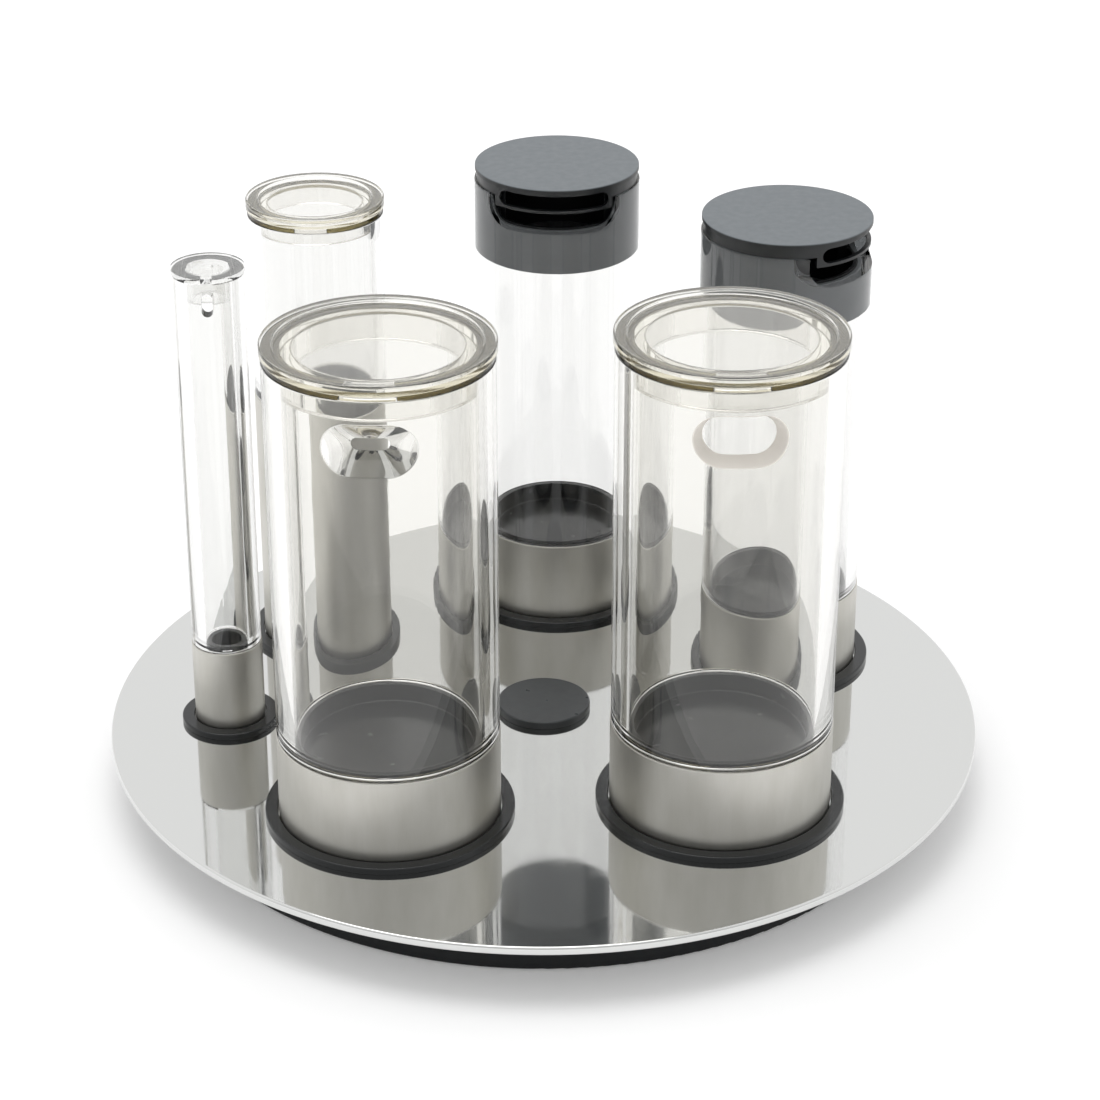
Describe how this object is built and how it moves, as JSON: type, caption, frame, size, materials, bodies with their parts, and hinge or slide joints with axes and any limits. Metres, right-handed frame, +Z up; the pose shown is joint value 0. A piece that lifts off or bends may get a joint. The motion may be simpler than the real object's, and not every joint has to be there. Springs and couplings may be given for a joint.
{
  "type": "spice carousel",
  "caption": "Round turntable with clear lidded spice jars, a canister, a slim tube and shakers with turning caps, each lifting out of its own ring on a polished plate.",
  "frame": {"origin": "centre of the turntable's axis on the bench under the feet", "axes": "+Z up along the turntable's axis, -Y to the front between the two wide jars, +X to the right"},
  "size_m": [0.206, 0.206, 0.13],
  "materials": {
    "polished_steel": "mirror polished stainless steel",
    "brushed_steel": "vertical brushed grain",
    "pressed_steel": "pressed strip, oiled",
    "bright_steel": "ground and bright",
    "clear_acrylic": "clear, polished, faintly warm, fine scratches",
    "black_gloss": "glossy black moulding",
    "black_satin": "satin black moulding",
    "smoky_seal": "smoky olive soft ring",
    "nylon": "natural nylon",
    "rubber": "matt rubber"
  },
  "bodies": {
    "base": {"base_housing": "black_satin", "rubber_feet": "rubber", "lower_race": "pressed_steel", "pivot_screw": "bright_steel"},
    "bearing_cage": {"ball_cage": "nylon", "bearing_balls": "bright_steel"},
    "platter": {"plate": "polished_steel", "upper_race": "pressed_steel", "pivot_bush": "nylon", "centre_cap": "black_satin", "jar_left_holder": "black_satin", "jar_right_holder": "black_satin", "canister_holder": "black_satin", "slim_holder": "black_satin", "shaker_centre_holder": "black_satin", "shaker_right_holder": "black_satin"},
    "jar_left": {"jar_left_cup": "brushed_steel", "jar_left_insert": "black_gloss", "jar_left_tube": "clear_acrylic"},
    "jar_right": {"jar_right_cup": "brushed_steel", "jar_right_insert": "black_gloss", "jar_right_tube": "clear_acrylic"},
    "canister": {"canister_cup": "brushed_steel", "canister_insert": "black_gloss", "canister_tube": "clear_acrylic"},
    "slim": {"slim_cup": "brushed_steel", "slim_insert": "black_gloss", "slim_tube": "clear_acrylic"},
    "shaker_centre": {"shaker_centre_cup": "brushed_steel", "shaker_centre_insert": "black_gloss", "shaker_centre_tube": "clear_acrylic"},
    "shaker_right": {"shaker_right_cup": "brushed_steel", "shaker_right_insert": "black_gloss", "shaker_right_tube": "clear_acrylic"},
    "jar_left_lid": {"jar_left_lid": "clear_acrylic", "jar_left_seal": "smoky_seal"},
    "jar_right_lid": {"jar_right_lid": "clear_acrylic", "jar_right_seal": "smoky_seal"},
    "canister_lid": {"canister_lid": "clear_acrylic", "canister_seal": "smoky_seal"},
    "slim_cap": {"slim_cap": "clear_acrylic"},
    "shaker_centre_spout": {"shaker_centre_spout": "black_satin", "shaker_centre_liner": "black_satin"},
    "shaker_centre_cap": {"shaker_centre_cap": "black_satin"},
    "shaker_right_spout": {"shaker_right_spout": "black_satin", "shaker_right_liner": "black_satin"},
    "shaker_right_cap": {"shaker_right_cap": "black_satin"}
  },
  "joints": [
    {"name": "platter_spin", "type": "hinge", "parent": "base", "child": "platter", "pos_m": [0, 0, 0.0148], "axis": [0, 0, 1], "continuous": true},
    {"name": "cage_spin", "type": "hinge", "parent": "base", "child": "bearing_cage", "pos_m": [0, 0, 0.0089], "axis": [0, 0, 1], "continuous": true},
    {"name": "jar_left_lift", "type": "slide", "parent": "platter", "child": "jar_left", "axis": [0, 0, 1], "range_m": [0, 0.08]},
    {"name": "jar_right_lift", "type": "slide", "parent": "platter", "child": "jar_right", "axis": [0, 0, 1], "range_m": [0, 0.08]},
    {"name": "canister_lift", "type": "slide", "parent": "platter", "child": "canister", "axis": [0, 0, 1], "range_m": [0, 0.08]},
    {"name": "slim_lift", "type": "slide", "parent": "platter", "child": "slim", "axis": [0, 0, 1], "range_m": [0, 0.08]},
    {"name": "shaker_centre_lift", "type": "slide", "parent": "platter", "child": "shaker_centre", "axis": [0, 0, 1], "range_m": [0, 0.08]},
    {"name": "shaker_right_lift", "type": "slide", "parent": "platter", "child": "shaker_right", "axis": [0, 0, 1], "range_m": [0, 0.08]},
    {"name": "jar_left_lid_lift", "type": "slide", "parent": "jar_left", "child": "jar_left_lid", "axis": [0, 0, 1], "range_m": [0, 0.04]},
    {"name": "jar_right_lid_lift", "type": "slide", "parent": "jar_right", "child": "jar_right_lid", "axis": [0, 0, 1], "range_m": [0, 0.04]},
    {"name": "canister_lid_lift", "type": "slide", "parent": "canister", "child": "canister_lid", "axis": [0, 0, 1], "range_m": [0, 0.04]},
    {"name": "slim_cap_lift", "type": "slide", "parent": "slim", "child": "slim_cap", "axis": [0, 0, 1], "range_m": [0, 0.03]},
    {"name": "shaker_centre_spout_lift", "type": "slide", "parent": "shaker_centre", "child": "shaker_centre_spout", "axis": [0, 0, 1], "range_m": [0, 0.05]},
    {"name": "shaker_centre_cap_turn", "type": "hinge", "parent": "shaker_centre_spout", "child": "shaker_centre_cap", "pos_m": [0.00318, 0.06282, 0.12], "axis": [0, 0, 1], "range_deg": [0, 120]},
    {"name": "shaker_right_spout_lift", "type": "slide", "parent": "shaker_right", "child": "shaker_right_spout", "axis": [0, 0, 1], "range_m": [0, 0.05]},
    {"name": "shaker_right_cap_turn", "type": "hinge", "parent": "shaker_right_spout", "child": "shaker_right_cap", "pos_m": [0.05653, 0.02757, 0.12], "axis": [0, 0, 1], "range_deg": [0, 120]}
  ],
  "couplings": [
    {"joint": "cage_spin", "follows": "platter_spin", "ratio": 0.5}
  ]
}
